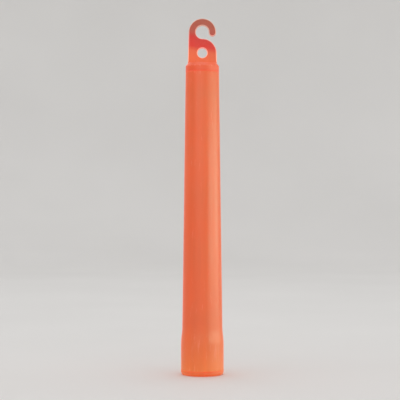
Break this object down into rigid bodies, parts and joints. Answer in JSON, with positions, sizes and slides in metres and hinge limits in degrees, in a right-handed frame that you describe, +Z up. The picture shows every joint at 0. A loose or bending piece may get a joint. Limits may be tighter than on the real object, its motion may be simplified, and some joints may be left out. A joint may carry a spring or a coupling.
{
  "type": "chemical light stick",
  "caption": "Translucent orange chemical light stick: a tapered tube with a belled, closed foot and a flat hooked tab with a cord hole, holding a glass ampoule in dye solution.",
  "frame": {"origin": "centre of the foot ring under the closing plug, on the tube's axis", "axes": "+Z up the tube's axis towards the hook, +X across the flat tab towards the hook's open side, Y through the tab's thickness"},
  "size_m": [0.0184, 0.0184, 0.1524],
  "materials": {
    "tube_plastic": "satin",
    "cap_plastic": "satin",
    "plug_plastic": "satin",
    "ampoule_glass": "gloss",
    "activator": "gloss",
    "dye": "gloss"
  },
  "bodies": {
    "stick": {"outer_tube": "tube_plastic", "hook_cap": "cap_plastic", "end_plug": "plug_plastic", "dye_solution": "dye"},
    "ampoule": {"glass_ampoule": "ampoule_glass", "activator_liquid": "activator"}
  },
  "joints": [
    {"name": "ampoule_float", "type": "slide", "parent": "stick", "child": "ampoule", "axis": [0, 0, 1], "range_m": [0, 0.005]}
  ]
}
